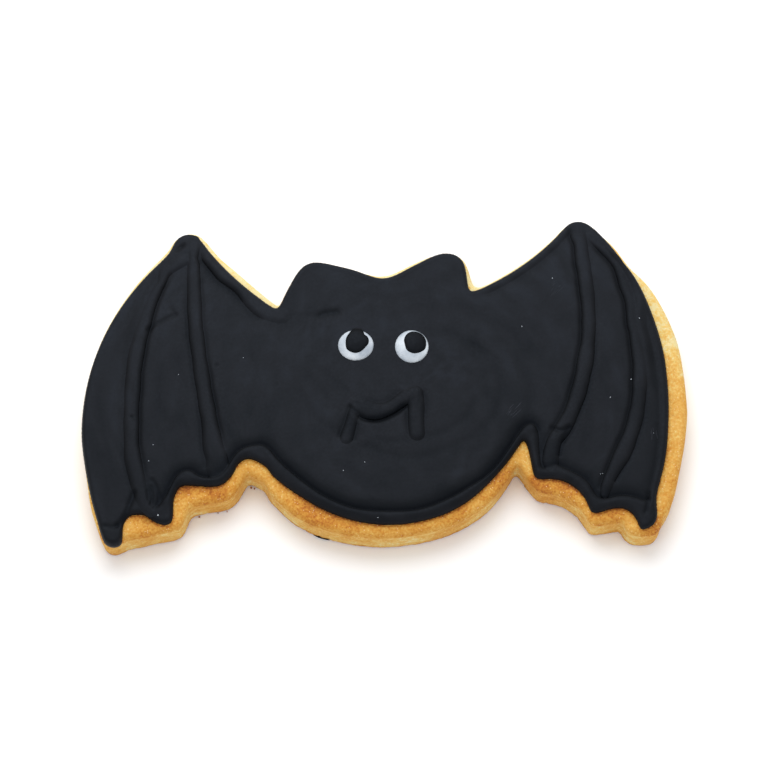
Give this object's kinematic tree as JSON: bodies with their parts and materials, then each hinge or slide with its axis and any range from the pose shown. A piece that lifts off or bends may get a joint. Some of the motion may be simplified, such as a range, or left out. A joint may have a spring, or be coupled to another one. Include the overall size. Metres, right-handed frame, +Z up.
{
  "type": "shortbread cookie",
  "caption": "Flat shortbread cookie cut as a flying bat, flooded with black icing, with piped outline, wing ribs, mouth and fangs, and white icing eyes.",
  "frame": {"origin": "middle of the footprint's bounding box, on the surface that the cookie lies on", "axes": "+X along the wings, towards the wing on the right of the bat's picture; +Y from the body to the ears; +Z up, out of the iced face"},
  "size_m": [0.114, 0.0646, 0.0096],
  "materials": {
    "biscuit": "matte, golden baked shortbread with a sandy crumb",
    "black_icing": "matte, dried black royal icing",
    "white_icing": "satin, dried white royal icing with a cold blue tint"
  },
  "bodies": {
    "root": {"biscuit": "biscuit", "icing_flood": "black_icing", "icing_outline": "black_icing", "wing_rib_left_outer": "black_icing", "wing_rib_left_inner": "black_icing", "wing_rib_right_inner": "black_icing", "wing_rib_right_outer": "black_icing", "mouth_smile": "black_icing", "fang_left": "black_icing", "fang_right": "black_icing", "eye_left": "white_icing", "pupil_left": "black_icing", "eye_right": "white_icing", "pupil_right": "black_icing"}
  },
  "joints": []
}
